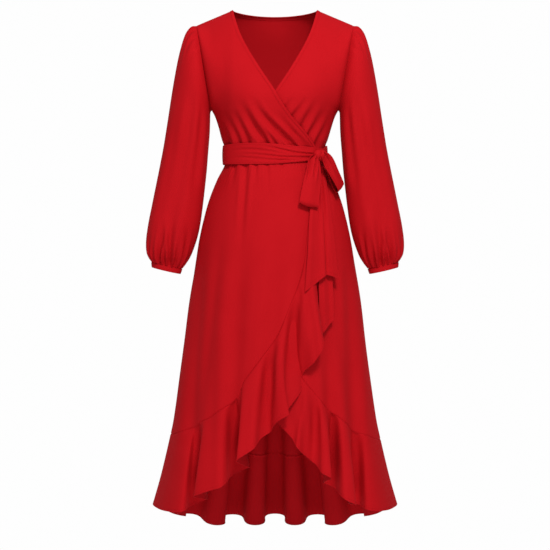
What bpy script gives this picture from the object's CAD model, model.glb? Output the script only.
# %% [markdown]
# # A red wrap dress
# The dress hangs in the air with the form that it has when it is worn. It is cut from crepe chiffon:
# two fronts that lap over each other, a back, long sleeves gathered into cuffs, a skirt with a flounce
# along its tulip hem, and a sash tied in a bow. The plain solids of each piece come from the packed
# model. This lesson makes the cloth that shows: thin shells on the same form, with their folds,
# gathers, narrow hems and stitches.

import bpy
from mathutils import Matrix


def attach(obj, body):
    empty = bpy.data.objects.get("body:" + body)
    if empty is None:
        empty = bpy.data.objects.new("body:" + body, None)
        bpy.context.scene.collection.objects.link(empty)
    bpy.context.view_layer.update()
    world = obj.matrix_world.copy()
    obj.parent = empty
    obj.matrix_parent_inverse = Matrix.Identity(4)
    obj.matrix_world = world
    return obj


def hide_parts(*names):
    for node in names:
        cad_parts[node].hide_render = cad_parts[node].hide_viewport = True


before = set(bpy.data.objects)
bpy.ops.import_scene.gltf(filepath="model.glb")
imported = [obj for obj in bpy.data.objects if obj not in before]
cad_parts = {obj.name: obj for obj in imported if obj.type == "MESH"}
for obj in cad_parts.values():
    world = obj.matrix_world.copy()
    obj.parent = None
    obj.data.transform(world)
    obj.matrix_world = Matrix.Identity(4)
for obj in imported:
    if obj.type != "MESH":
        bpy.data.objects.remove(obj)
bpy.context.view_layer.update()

# %% [markdown]
# ## Working in numbers
# The dress could be draped as a cloth simulation or pulled about by hand. It is written as grids of
# points instead, because each fold then lies where it lies on the real dress. Lengths are in
# millimetres until a mesh is made. A drop is measured down from the neck points, x grows towards the
# wearer's left and y towards the back.

# %% Tools
import math

import bpy
import mathutils
import numpy as np

MM = 0.001


def table(names, rows):
    """Rows of numbers as named columns."""
    return dict(zip(names.split(), np.array(rows, float).T))


def mix(a, b, share):
    """From a, at a share of 0, to b, at 1."""
    return a + (b - a) * share


def smooth(value, low, high):
    """A soft step from 0 at low to 1 at high."""
    k = np.clip((value - low) / (high - low), 0, 1)
    return k * k * (3 - 2 * k)


def bell(t):
    """A soft bump: 1 in the middle and almost nothing beyond 2."""
    return np.exp(-t * t)


def valley(t, ridge=0.45, ridge_at=1.6, ridge_width=0.8):
    """A fold cut across: a trough with a low ridge on each side."""
    return bell(t) - ridge * bell((np.abs(t) - ridge_at) / ridge_width)


def through(keys, values):
    """A smooth curve through values at rising keys. The values may be numbers or whole points."""
    keys, values = np.asarray(keys, float), np.asarray(values, float)
    n = len(keys)
    before, after = np.maximum(np.arange(n) - 1, 0), np.minimum(np.arange(n) + 1, n - 1)
    width = (keys[after] - keys[before]).reshape((n,) + (1,) * (values.ndim - 1))
    slope = (values[after] - values[before]) / width

    def read(at):
        at = np.clip(np.asarray(at, float), keys[0], keys[-1])
        i = np.clip(np.searchsorted(keys, at, side="right") - 1, 0, n - 2)
        step = keys[i + 1] - keys[i]
        k = (at - keys[i]) / step
        more = (1,) * (values.ndim - 1)
        k, step = k.reshape(k.shape + more), step.reshape(step.shape + more)
        ends = values[i] * (2 * k**3 - 3 * k**2 + 1) + values[i + 1] * (3 * k**2 - 2 * k**3)
        return ends + step * (slope[i] * (k**3 - 2 * k**2 + k) + slope[i + 1] * (k**3 - k**2))

    return read


def column(rows, key, value):
    """One column of a table as a smooth curve over another."""
    return through(rows[key], rows[value])


print("a fold cut across, from its middle outwards:", valley(np.arange(4)).round(2))

# %% [markdown]
# ## The form of the body
# A garment cutter works from a few girths at known heights. The same is done here: at each drop
# below the neck points a row gives half the width and the depth to the front and to the back, and
# smooth curves run through the rows. Every piece of cloth on the body is read from these two
# functions, so that neighbours meet and what lies on a panel follows it.

# %% The form in millimetres
BODY = table("drop half front back", [
    (0, 186, 84, 92), (36, 186, 86, 96), (100, 174.9, 92, 104), (150, 166.1, 104, 107),
    (205, 156.6, 113, 105), (237, 151, 111, 101), (248, 145.5, 109, 99), (260, 140.5, 106, 97),
    (284, 133, 100, 92), (308, 126, 94, 88), (322, 120.5, 91, 86), (342, 117.5, 90, 85),
    (366, 119.8, 93, 90), (404, 139, 104, 104), (452, 158, 115, 119), (500, 171.5, 123, 129),
    (548, 182, 130, 136), (596, 189.5, 136, 142), (692, 204, 147, 152), (788, 216, 156, 163),
    (884, 230, 166, 174), (980, 244.5, 178, 187), (1020, 253, 184, 193), (1076, 266, 195, 203),
    (1124, 278, 204, 214), (1180, 294, 216, 230), (1270, 318, 232, 250),
])
half_width = column(BODY, "drop", "half")
front_depth = column(BODY, "drop", "front")
back_depth = column(BODY, "drop", "back")
NECK_HALF, SHOULDER_HALF, SHOULDER_DROP = 100, 186, 36
UNDERARM_DROP, WAIST_DROP = 237, 341.4
BACK_NECK_DIP, BACK_NECK_DEPTH = 6.6, 70
BUST_FULL, BUST_X, BUST_WIDE, BUST_DROP, BUST_HIGH = 10, 72, 59.4, 205, 63.6
FRONT_PULL, BACK_PULL = 46, 50  # how far an armhole pulls the cloth round
SIDE_GAP = 0.15  # each half stops this short of the side seam
ROUND_OVER = 130  # the cloth rounds over this far below the shoulder


def shoulder_drop(x):
    """How far the shoulder seam has sunk at x."""
    return SHOULDER_DROP * np.maximum((np.abs(x) - NECK_HALF) / (SHOULDER_HALF - NECK_HALF), 0)


def round_over(drop):
    """The share of its full depth that the cloth has reached at a drop below its top."""
    k = np.clip(drop / ROUND_OVER, 0, 1)
    return np.sqrt(1 - (1 - k) ** 2)


def armhole(drop, u=1.0):
    """How strongly the armhole pulls the cloth round, softer away from it."""
    middle = (SHOULDER_DROP + UNDERARM_DROP) / 2
    bow = np.maximum(1 - ((drop - middle) / (UNDERARM_DROP - middle)) ** 2, 0)
    return bow ** mix(1.3, 0.5, smooth(u, 0.8, 1))


def section(x, drop):
    """Where x lies from centre (0) to side (1), and how deep the body is there."""
    u = np.minimum(np.abs(x) / half_width(drop), 1)
    return u, (1 - u**2.2) ** (1 / 1.8)


def points(x, y, drop):
    """Points in space from x, y and a drop."""
    return np.stack(np.broadcast_arrays(x, y, -np.asarray(drop, float)), -1)


def front(x, drop):
    """The front of the body at x and a drop."""
    x, drop = np.broadcast_arrays(np.asarray(x, float), np.asarray(drop, float))
    u, depth = section(x, drop)
    bust = BUST_FULL * bell((np.abs(x) - BUST_X) / BUST_WIDE) * bell((drop - BUST_DROP) / BUST_HIGH)
    full = (front_depth(drop) + bust) * round_over(drop - shoulder_drop(x)) * depth
    return points(x, -FRONT_PULL * armhole(drop, u) * u**4 - full - SIDE_GAP, drop)


def back_top(x):
    """The top edge of the back: its drop, and how far behind the shoulder it lies."""
    k = 1 - np.minimum(np.abs(x) / NECK_HALF, 1) ** 2
    return shoulder_drop(x) + BACK_NECK_DIP * k, BACK_NECK_DEPTH * np.sqrt(k)


def back(x, drop):
    """The back of the body at x and a drop."""
    x, drop = np.broadcast_arrays(np.asarray(x, float), np.asarray(drop, float))
    u, depth = section(x, drop)
    top, top_y = back_top(x)
    y = top_y + (np.maximum(back_depth(drop) * depth, top_y) - top_y) * round_over(drop - top)
    return points(x, BACK_PULL * armhole(drop, u) * u**4 + y + SIDE_GAP, drop)


print("waist", 2 * half_width(342.0), "mm wide, hem", 2 * half_width(1180.0), "mm wide")

# %% [markdown]
# ## Cloth as a thin shell
# Each piece starts as a grid of points: rows run down the cloth, columns anticlockwise as seen from
# above, so a grid always faces outwards. A second grid, one thickness inside, and a rim turn it into
# a closed shell. A UV map in metres goes with it, measured along the cloth, so that the weave keeps
# its real scale and follows every fold. Solidify would give the thickness too, but here both walls and
# the rim are known point by point.

# %% Grids and their measures
def facing(grid, closed=False):
    """The outward direction at each point. A closed grid goes all round."""
    up = grid[np.maximum(np.arange(len(grid)) - 1, 0)]
    low = grid[np.minimum(np.arange(len(grid)) + 1, len(grid) - 1)]
    if closed:
        before, after = np.roll(grid, 1, 1), np.roll(grid, -1, 1)
    else:
        n = grid.shape[1]
        before = grid[:, np.maximum(np.arange(n) - 1, 0)]
        after = grid[:, np.minimum(np.arange(n) + 1, n - 1)]
    out = np.cross(low - up, after - before)
    return out / np.maximum(np.linalg.norm(out, axis=-1, keepdims=True), 1e-9)


def moved_out(grid, distance, closed=False):
    """The grid moved outwards, by one distance or by one for each point."""
    return grid + facing(grid, closed) * np.broadcast_to(distance, grid.shape[:2])[..., None]


def lengths(grid, axis):
    """How far along the cloth each point lies, down its columns (0) or along its rows (1)."""
    steps = np.linalg.norm(np.diff(grid, axis=axis), axis=-1)
    first = np.zeros_like(np.take(steps, [0], axis))
    return np.cumsum(np.concatenate([first, steps], axis), axis)


patch = front(*np.meshgrid([-40, 0, 40], [300, 320, 340]))
print("the front above the waist faces", facing(patch)[1, 1].round(2))

# %% Shells from grids
PIECES, AREAS = {}, {}
SHARP = math.radians(48)  # edges that turn more than this are drawn sharp


def cloth(name, grid, thickness=0.8, closed=False):
    """One piece of cloth as an object: a closed shell with a UV map in metres."""
    rows, columns = grid.shape[:2]
    inner = moved_out(grid, -thickness, closed)
    spans = columns if closed else columns - 1
    i, j = np.arange(rows - 1)[:, None], np.arange(spans)[None, :]
    at = lambda r, c, side: (side * rows + r) * columns + c % columns
    quads = [
        np.stack([at(i, j, 0), at(i + 1, j, 0), at(i + 1, j + 1, 0), at(i, j + 1, 0)], -1),
        np.stack([at(i, j, 1), at(i, j + 1, 1), at(i + 1, j + 1, 1), at(i + 1, j, 1)], -1),
        np.stack([at(0, j, 0), at(0, j + 1, 0), at(0, j + 1, 1), at(0, j, 1)], -1),
        np.stack([at(rows - 1, j, s) for s in (0, 1)]
                 + [at(rows - 1, j + 1, s) for s in (1, 0)], -1),
    ]
    if not closed:
        end = columns - 1
        quads.append(np.stack([at(i, 0, 0), at(i, 0, 1), at(i + 1, 0, 1), at(i + 1, 0, 0)], -1))
        quads.append(np.stack([at(i, end, 0), at(i + 1, end, 0),
                               at(i + 1, end, 1), at(i, end, 1)], -1))
    faces = np.concatenate([q.reshape(-1, 4) for q in quads])
    corners = np.concatenate([grid.reshape(-1, 3), inner.reshape(-1, 3)]) * MM
    mesh = bpy.data.meshes.new(name)
    mesh.from_pydata(corners.tolist(), [], faces.tolist())
    along, down = lengths(grid, 1), lengths(grid, 0)
    edges = [round(float(e)) for e in (along[0, -1], along[-1, -1], down[-1, 0], down[-1, -1])]
    along = along - along[:, columns // 2][:, None]
    flat = np.stack([along, down], -1).reshape(-1, 2) * MM
    layer = mesh.uv_layers.new(name="cloth")
    layer.data.foreach_set("uv", np.concatenate([flat, flat])[faces.reshape(-1)].reshape(-1))
    mesh.polygons.foreach_set("use_smooth", np.ones(len(faces), bool))
    mesh.set_sharp_from_angle(angle=SHARP)
    made = bpy.data.objects.new(name, mesh)
    bpy.context.collection.objects.link(made)
    corner, below, beside = grid[:-1, :-1], grid[1:, :-1], grid[:-1, 1:]
    area = np.linalg.norm(np.cross(below - corner, beside - corner), axis=-1).sum() * MM**2
    PIECES[name], AREAS[name] = made, area
    print(f"{name}: {len(faces) * 2} triangles, {area:.4f} m2, top, low, left, right mm:", edges)


# %% [markdown]
# ## Folds by hand
# A fold in crepe chiffon is a soft trough between two low ridges. It is pressed into the grid along a
# path that was read from the dress, with its own width and depth, and it fades at its ends. Placing
# each one by hand keeps them as uneven as real ones. A cloth simulation would also give folds, but
# not these ones.

# %% Troughs along paths
def smooth_path(path, count=26):
    """A curve of even steps through the corners of a path."""
    path = np.asarray(path, float)
    far = np.concatenate([[0], np.cumsum(np.linalg.norm(np.diff(path, axis=0), axis=1))])
    return through(far, path)(np.linspace(0, far[-1], count))


def trough(x, drop, path, width, depth, start=0.6, end=0.0):
    """How deep a fold along a path is at each point. It fades over a share of each end."""
    line = smooth_path(path)
    best = np.full(np.shape(x), 1e9)
    share = np.zeros(np.shape(x))
    for n, (a, b) in enumerate(zip(line[:-1], line[1:])):
        d = b - a
        k = np.clip(((x - a[0]) * d[0] + (drop - a[1]) * d[1]) / (d @ d), 0, 1)
        away = np.hypot(x - a[0] - k * d[0], drop - a[1] - k * d[1])
        near = away < best
        best = np.where(near, away, best)
        share = np.where(near, (n + k) / (len(line) - 1), share)
    fade = (smooth(share, 0, start) if start else 1) * (1 - smooth(share, 1 - end, 1) if end else 1)
    return depth * fade * valley(best / width, 0.42, 1.75, 0.85)


def folded(grid, folds, closed=False, where=1):
    """Presses folds into a grid. Each is (path of (x, drop), width, depth, start, end)."""
    x, drop = grid[..., 0], -grid[..., 2]
    inward = sum(trough(x, drop, *fold) for fold in folds)
    return moved_out(grid, -inward * where, closed)


def uneven_waves(along, spacing, seed):
    """Small gathers: waves along a seam whose spacing and height wander."""
    k = 2 * np.pi / spacing
    wander = 1.3 * np.sin(k * along / 3.7 + seed) + 0.8 * np.sin(k * along / 7.9 + 2 * seed)
    height = 0.62 + 0.38 * np.sin(k * along / 5.3 + 1.7 * seed)
    return height * np.cos(k * along + wander)


straight_fold = trough(np.array([0, 5, 10]), 320, [(0, 300), (0, 320), (0, 340)], 5, 4.0)
print("a 4 mm fold at 0, 5 and 10 mm from its path:", straight_fold.round(2))

# %% [markdown]
# ## The finish: crepe chiffon
# Crepe chiffon is woven from hard-twisted polyester yarn, about 30 threads to the centimetre. The
# twist makes a fine pebbled surface with a matt face and a faint sheen where it turns away. The
# threads here are drawn 0.5 mm apart, a little coarser than they are, so that they show close up.
# All patterns read the UV map, which is in metres, so a factor of 1000 gives millimetres. A picture
# of crepe could be laid on instead, but patterns from nodes stay sharp close up. The sewing thread is
# of the same dye, and smoother.

# %% Colours and nodes
def linear(code, alpha=1.0):
    """An sRGB hex colour as linear values."""
    parts = [int(code[k:k + 2], 16) / 255 for k in (1, 3, 5)]
    return tuple(((c + 0.055) / 1.055) ** 2.4 if c > 0.04045 else c / 12.92 for c in parts) + (alpha,)


def node(tree, kind, links=None, **settings):
    """Adds one node: settings that name a socket set its value, others set the node's property."""
    made = tree.nodes.new(kind)
    for key, value in settings.items():
        name = key.replace("_", " ").title()
        if name in made.inputs:
            made.inputs[name].default_value = value
        else:
            setattr(made, key, value)
    for socket, source in (links or {}).items():
        tree.links.new(source, made.inputs[socket])
    return made


print("crepe red as linear values:", np.round(linear("#B8121A"), 3))

# %% Crepe and thread
WAVE_REPEAT = 0.314  # a wave texture of scale 1 has a band every 0.314 units


def crepe(name, face, shade, roughness=0.78, sheen=0.16, thread=0.5):
    """Woven cloth or yarn: two crossing sets of threads with a pebbled grain, matt, with a sheen."""
    made = bpy.data.materials.new(name)
    made.use_nodes = True
    tree = made.node_tree
    tree.nodes.clear()
    where = node(tree, "ShaderNodeUVMap", uv_map="cloth")
    scaled = node(tree, "ShaderNodeMapping", {"Vector": where.outputs[0]}, vector_type="POINT")
    scaled.inputs["Scale"].default_value = (1000, 1000, 1000)
    wave = dict(wave_type="BANDS", wave_profile="SIN", distortion=0.9, detail=1.0, detail_scale=1.6)
    warp = node(tree, "ShaderNodeTexWave", {"Vector": scaled.outputs[0]}, bands_direction="X",
                scale=WAVE_REPEAT / thread, **wave)
    weft = node(tree, "ShaderNodeTexWave", {"Vector": scaled.outputs[0]}, bands_direction="Y",
                scale=WAVE_REPEAT / thread, **wave)
    weave = node(tree, "ShaderNodeMath", {0: warp.outputs[1], 1: weft.outputs[1]}, operation="MULTIPLY")
    # Pebbles about 1 mm across lie over the threads, and both stand out by 0.06 mm.
    pebble = node(tree, "ShaderNodeTexNoise", {"Vector": scaled.outputs[0]}, scale=0.9, detail=3.0,
                  roughness=0.6)
    height = node(tree, "ShaderNodeMath", {0: weave.outputs[0], 1: pebble.outputs[0]}, operation="ADD")
    bump = node(tree, "ShaderNodeBump", {"Height": height.outputs[0]}, strength=0.35,
                distance=0.00006)
    # The colour wanders a little over patches of about 90 mm, and from thread to thread.
    cloudy = node(tree, "ShaderNodeTexNoise", {"Vector": scaled.outputs[0]}, scale=0.011, detail=2.0)
    tone = node(tree, "ShaderNodeMapRange", {"Value": cloudy.outputs[0]}, from_min=0.3, from_max=0.7,
                to_min=0.0, to_max=0.35)
    grain = node(tree, "ShaderNodeMapRange", {"Value": weave.outputs[0]}, to_min=0.0, to_max=0.22)
    both = node(tree, "ShaderNodeMath", {0: tone.outputs[0], 1: grain.outputs[0]}, operation="ADD")
    colour = node(tree, "ShaderNodeMix", {"Factor": both.outputs[0]}, data_type="RGBA")
    for socket, code in ((6, face), (7, shade)):  # the colour sockets of a Mix node, by number
        colour.inputs[socket].default_value = linear(code)
    rough = node(tree, "ShaderNodeMapRange", {"Value": pebble.outputs[0]}, to_min=roughness - 0.06,
                 to_max=roughness + 0.08)
    skin = node(tree, "ShaderNodeBsdfPrincipled", {"Base Color": colour.outputs[2],
                "Roughness": rough.outputs[0], "Normal": bump.outputs[0]})
    # Hard-twisted yarn gives almost no highlight, and what it gives is tinted by the dye.
    skin.inputs["Sheen Weight"].default_value = sheen
    skin.inputs["Sheen Roughness"].default_value = 0.45
    skin.inputs["Sheen Tint"].default_value = linear("#F02A33")
    skin.inputs["Specular IOR Level"].default_value = 0.08
    skin.inputs["Specular Tint"].default_value = linear("#F4B0B3")
    node(tree, "ShaderNodeOutputMaterial", {"Surface": skin.outputs[0]})
    return made


CREPE = crepe("crepe chiffon", "#B8121A", "#AC0D15")
THREAD = crepe("polyester thread", "#B0141C", "#98101A", roughness=0.5, sheen=0.15, thread=0.4)
print("materials:", CREPE.name, "and", THREAD.name)

# %% [markdown]
# ## The fronts of the bodice
# Each front runs from the shoulder seam to the waist and has a V edge. The right one crosses over to
# the left side of the waist, and its fullness is gathered into the waist seam: ten folds run up
# from the belt and fan out under the bust. The left one shows five folds that run up from the
# wrap edge. Both are one function, laid out for the right side and mirrored for the left. They could
# be cut out of a whole bodice, but a grid that ends at the V edge has rows that follow it.

# %% Bodice fronts
WRAP_EDGE = table("drop x", [
    (0, -100), (24, -93.8), (56, -83.6), (87, -69.6), (122, -50), (154, -30.5), (203, 2.3),
    (236, 23.5), (264, 44.7), (286, 64.3), (319, 88), (342, 96),
])
wrap_x = column(WRAP_EDGE, "drop", "x")
OVER_LIFT, OVER_SKIRT_LIFT, UNDER_SINK = 4.2, 8, 2.6  # how far the layers stand apart


def under_sink(x, drop):
    """How far the lower front lies inside the body line."""
    return UNDER_SINK * smooth(x, -half_width(drop), -0.7 * half_width(drop))


def bodice_front(side, rows=104, columns=100):
    """A front from its shoulder and side seam to the V edge, with closer points near the seams."""
    v = 1 - np.cos(np.linspace(0, 1, rows)[:, None] * np.pi / 2)
    share = 1 - np.cos(np.linspace(0, 1, columns)[None, :] * np.pi / 2)
    share = mix(share, np.linspace(0, 1, columns)[None, :], 0.35 * share)
    side_drop, edge_drop = mix(SHOULDER_DROP, WAIST_DROP, v), WAIST_DROP * v
    drop = mix(side_drop, edge_drop, share)
    x = mix(-half_width(side_drop), wrap_x(edge_drop), share)
    grid = front(x, drop)
    if side == "left":
        return (moved_out(grid, -under_sink(x, drop) * smooth(drop, 60, 150)) * (-1, 1, 1))[:, ::-1]
    return moved_out(grid, OVER_LIFT * smooth(x, -125, -94) * smooth(drop, 60, 150))


print("points of a front, down and across:", bodice_front("right").shape[:2])

# %% Folds of the bodice fronts
OVER_FOLDS = [
    # path of (x, drop), width, depth, share over which it fades in
    ([(-124, 242), (-103, 276), (-88, 305), (-76, 340)], 6.5, 4.2, 0.8),
    ([(-98, 236), (-80, 277), (-68, 303), (-57, 340)], 6.5, 5.0, 0.8),
    ([(-86, 212), (-64, 256), (-48, 283), (-30, 308), (-12, 340)], 7.5, 8.0, 0.7),
    ([(-56, 262), (-38, 287), (-22, 309), (-6, 340)], 4.6, 3.4, 0.8),
    ([(-34, 276), (-12, 306), (6, 330), (14, 341)], 5.0, 4.6, 0.7),
    ([(-58, 204), (-36, 246), (-17, 269), (6, 292), (28, 311), (58, 338)], 7.5, 8.4, 0.6),
    ([(0, 302), (14, 318), (32, 338)], 4.0, 3.4, 0.6),
    ([(0, 244), (32, 284), (56, 310), (84, 338)], 6.0, 4.8, 0.7),
    ([(36, 300), (52, 315), (74, 334)], 3.6, 3.8, 0.6),
    ([(-136, 262), (-118, 290), (-104, 340)], 6.5, 3.0, 0.8),
]
UNDER_FOLDS = [
    ([(44, 214), (26, 236), (8, 262)], 5.0, 4.4, 0.8),
    ([(80, 206), (62, 235), (40, 262), (20, 286)], 6.0, 5.4, 0.8),
    ([(106, 208), (83, 247), (62, 285), (48, 312)], 6.5, 5.6, 0.8),
    ([(124, 222), (104, 262), (78, 306), (62, 338)], 6.5, 5.4, 0.8),
    ([(134, 240), (118, 280), (98, 322), (92, 341)], 6.0, 3.6, 0.8),
]


def near_waist(grid, seed, spacing=9, reach=34):
    """Tiny gathers, 1 mm high at the waist seam, that die out above it."""
    along = lengths(grid, 1)[-1][None, :]
    fade = smooth(-grid[..., 2], WAIST_DROP - reach, WAIST_DROP)
    return moved_out(grid, fade**1.5 * uneven_waves(along, spacing, seed))


over_bodice = near_waist(folded(bodice_front("right"), OVER_FOLDS), 0.4)
under_bodice = near_waist(folded(bodice_front("left"), UNDER_FOLDS), 1.9)
cloth("cloth_bodice_front_right", over_bodice)
cloth("cloth_bodice_front_left", under_bodice)

# %% [markdown]
# ## The back of the bodice and the neck edges
# The back is one piece with a shallow neck, and it is gathered into the same waist seam. A narrow
# band of the same cloth finishes the V edges, and a second one shows inside the back neck. Each band
# is made from its panel's own points, moved out, so that it cannot part from it.

# %% Back bodice and bands
def back_bodice(rows=92, columns=170):
    """The back from neck and shoulders to the waist, with closer points near its edges."""
    v = 1 - np.cos(np.linspace(0, 1, rows)[:, None] * np.pi / 2)
    place = np.sin(np.linspace(np.pi / 2, -np.pi / 2, columns))[None, :]
    drop = mix(back_top(place * SHOULDER_HALF)[0], WAIST_DROP, v)
    return back(place * half_width(drop), drop)


BACK_FOLDS = [
    ([(96, 252), (82, 296), (74, 340)], 6, 2.4, 0.8),
    ([(66, 226), (58, 280), (52, 340)], 6.5, 3.2, 0.8),
    ([(34, 262), (31, 300), (28, 340)], 5, 2.4, 0.8),
    ([(8, 240), (9, 290), (6, 340)], 6, 2.8, 0.8),
    ([(-22, 270), (-20, 300), (-17, 340)], 4.6, 2.2, 0.8),
    ([(-46, 232), (-41, 285), (-38, 340)], 6.5, 3.2, 0.8),
    ([(-76, 250), (-67, 296), (-62, 340)], 5.5, 2.6, 0.8),
    ([(-104, 262), (-94, 300), (-86, 340)], 5, 2.2, 0.8),
]
back_grid = near_waist(folded(back_bodice(), BACK_FOLDS), 3.1)
cloth("cloth_bodice_back", back_grid)

# %% Bands
BAND_LIFT, NECK_BAND_SINK, NECK_BAND_WIDTH = 0.9, 1.0, 11


def edge_band(grid, from_right, width=7.0):
    """A strip of a front's own points along its V edge, about 7 mm wide."""
    shares = np.linspace(0, 1, 7)
    lifted = moved_out(grid, BAND_LIFT)
    lifted = lifted[:, ::-1] if from_right else lifted
    far = lengths(lifted, 1)
    strip = np.empty((len(grid), len(shares), 3))
    for i in range(len(grid)):
        for axis in range(3):
            strip[i, :, axis] = np.interp(shares * width, far[i], lifted[i, :, axis])
    return strip[:, ::-1] if from_right else strip


over_band = edge_band(over_bodice, True)
under_band = edge_band(under_bodice, False)
cloth("cloth_wrap_band_right", over_band)
cloth("cloth_wrap_band_left", under_band)
centre = back_grid.shape[1] // 2
neck_rows = np.flatnonzero(lengths(back_grid, 0)[:, centre] < NECK_BAND_WIDTH)
neck_columns = np.flatnonzero(np.abs(back_grid[0, :, 0]) <= NECK_HALF - 1)
neck_band = moved_out(back_grid, -NECK_BAND_SINK)[neck_rows][:, neck_columns]
cloth("cloth_neck_band_back", neck_band, thickness=0.7)

# %% [markdown]
# ## Sleeves and cuffs
# A sleeve is a tube through rings. Each ring is an ellipse between an outer and an inner point, as
# seen from the front. The head is gathered over the shoulder, and the end is gathered all the way
# round into a narrow cuff, so its folds start at the cuff, run up and die out in the full part. A few
# long soft folds run down the arm, as cloth hangs from the shoulder. The angle round a sleeve starts
# on its outer side and is 90 degrees at the front. The left sleeve is the right one mirrored. A
# straight tube could be bent with a lattice, but the rings give the outline of the arm outright.

# %% The form of a sleeve
SLEEVE = table("out_x out_drop in_x in_drop depth", [
    (199.5, 39.5, 153.6, 240.5, 57), (214, 58, 154.7, 247, 62), (228, 102, 155.1, 262, 64),
    (242, 172, 156.2, 293, 60), (258.5, 275, 160.5, 346, 54), (269, 337, 164, 388, 51),
    (294.5, 462, 175, 482, 51), (304.5, 512, 182.5, 527, 53), (309.5, 552, 193, 563, 50),
    (307.5, 579, 205, 590, 43), (296.5, 599, 223, 615, 31),
])
CUFF = table("out_x out_drop in_x in_drop depth", [
    (296.8, 600.4, 222.6, 616.6, 31.5), (295.8, 612.4, 226.8, 628.6, 31.5),
])
HEAD_TUCK, HEAD_INSET = 2.4, 2.6  # how far the sleeve head lies in under the bodice


def ring_points(rows, i, angle):
    """One ring of a table: an ellipse between its outer and its inner point."""
    a = np.array((-rows["out_x"][i], 0, -rows["out_drop"][i]))
    b = np.array((-rows["in_x"][i], 0, -rows["in_drop"][i]))
    centre, half = (a + b) / 2, (a - b) / 2
    return (centre + np.cos(angle)[:, None] * half
            + np.sin(angle)[:, None] * np.array((0, -rows["depth"][i], 0)))


def armhole_points(angle):
    """The head of the sleeve, tucked a little way in under the edge of the bodice."""
    middle = (SHOULDER_DROP + UNDERARM_DROP) / 2
    drop = middle - (UNDERARM_DROP - middle - 0.5) * np.cos(angle)
    depth = np.where(np.sin(angle) > 0, FRONT_PULL, BACK_PULL) - HEAD_TUCK
    return points(-half_width(drop) + HEAD_INSET, -depth * np.sin(angle), drop)


print("a sleeve runs through", len(SLEEVE["depth"]), "rings below its head")

# %% Folds and gathers of a sleeve
SLEEVE_FOLDS = [
    # angle at the top, angle at the cuff, from, to (mm down the sleeve), width, depth
    (98, 84, 60, 520, 13, 5.0), (62, 66, 150, 500, 15, 3.2), (128, 118, 30, 330, 12, 3.6),
    (262, 272, 60, 520, 14, 4.8), (298, 292, 160, 500, 15, 3.2), (228, 236, 30, 330, 12, 3.6),
]
CAP_GATHERS = [
    # angle, length, width, depth
    (4, 62, 4.2, 2.8), (17, 40, 3.6, 2.4), (30, 92, 4.6, 3.4), (46, 58, 4.2, 2.6), (63, 42, 4.0, 2.0),
    (350, 46, 3.8, 2.4), (337, 84, 4.6, 3.2), (322, 52, 4.0, 2.6), (304, 66, 4.4, 2.6),
    (288, 40, 4.0, 1.8),
]
CUFF_GATHERS = [
    # angle, lean, length, width, depth
    (12, 2, 40, 4.0, 2.4), (30, -3, 96, 5.0, 4.8), (49, 3, 56, 4.2, 3.8), (66, -2, 138, 5.4, 8.4),
    (84, 6, 70, 4.4, 4.2), (102, 9, 160, 5.6, 8.8), (121, 12, 84, 4.6, 4.6), (142, 10, 118, 4.8, 6.2),
    (163, 4, 46, 4.2, 2.8), (188, -3, 52, 4.4, 2.8), (208, -9, 128, 5.2, 5.4), (227, -8, 64, 4.4, 3.8),
    (247, -9, 160, 6.0, 7.0), (268, -5, 68, 4.4, 4.0), (287, 2, 132, 5.6, 6.0), (306, -2, 58, 4.2, 3.6),
    (325, 3, 100, 5.0, 4.6), (344, -1, 40, 4.0, 2.4),
]
print(len(SLEEVE_FOLDS), "long folds,", len(CAP_GATHERS), "gathers at the head,",
      len(CUFF_GATHERS), "at the cuff")


# %% Sleeves and cuffs
def sleeve(rows=140, columns=156):
    """The right sleeve as a tube, with closer rows at its head and near the cuff."""
    angle = np.linspace(0, 2 * np.pi, columns, endpoint=False)
    rings = np.stack([armhole_points(angle)]
                     + [ring_points(SLEEVE, i, angle) for i in range(len(SLEEVE["depth"]))])
    down = np.concatenate([[0], np.cumsum(np.linalg.norm(np.diff(rings, axis=0), axis=-1).mean(1))])
    t = np.linspace(0, 1, rows)
    total = down[-1]
    at = np.interp(t, [0, 0.08, 0.8, 1], [0, 0.04 * total, 0.83 * total, total])
    grid = through(down, rings)(at)
    s, up = at[:, None], total - at[:, None]
    size = np.linalg.norm(grid - np.roll(grid, 1, 1), axis=-1).sum(1)[:, None] / (2 * np.pi)
    turn = lambda degrees: (angle[None, :] - np.radians(degrees) + np.pi) % (2 * np.pi) - np.pi
    inward = np.zeros(grid.shape[:2])
    for top, low, begin, end, width, depth in SLEEVE_FOLDS:
        here = mix(top, low, s / total)
        t = turn(here) * size / width
        fade = smooth(s, begin, begin + 110) * (1 - smooth(s, end - 90, end))
        inward += depth * fade * valley(t, 0.4, 1.7, 0.9)
    for place, length, width, depth in CAP_GATHERS:
        t = turn(place) * size / (width * (1 + s / 60))
        inward += depth * (1 - smooth(s, 0, length)) * smooth(s, 3, 13) * valley(t)
    for place, lean, length, width, depth in CUFF_GATHERS:
        t = turn(place - lean * up / 60) * size / (width * (0.6 + up / 105))
        fade = (1 - smooth(up, 0.1 * length, length)) * (0.5 + 0.5 * smooth(up, 0, 12))
        inward += depth * fade * valley(t)
    fine = uneven_waves(angle[None, :] * 40, 8.5, 2.2) * (1 - smooth(up, 0, 24))
    return moved_out(grid, -inward + 0.7 * fine, True)


def cuff(rows=8, columns=156):
    """The right cuff: a slightly round band whose upper edge is tucked into the sleeve."""
    angle = np.linspace(0, 2 * np.pi, columns, endpoint=False)
    top, low = (ring_points(CUFF, i, angle) for i in (0, 1))
    v = np.concatenate([[-0.32, -0.04], np.linspace(0.04, 1, rows)])[:, None, None]
    crown = np.where(v < 0, -2.2, 0.5 * np.sin(np.pi * np.clip(v, 0, 1)))
    return moved_out(mix(top, low, v), crown[..., 0], True)


def mirrored(grid):
    """A closed grid on the other side of the body."""
    return np.roll((grid * (-1, 1, 1))[:, ::-1], 1, 1)


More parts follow.
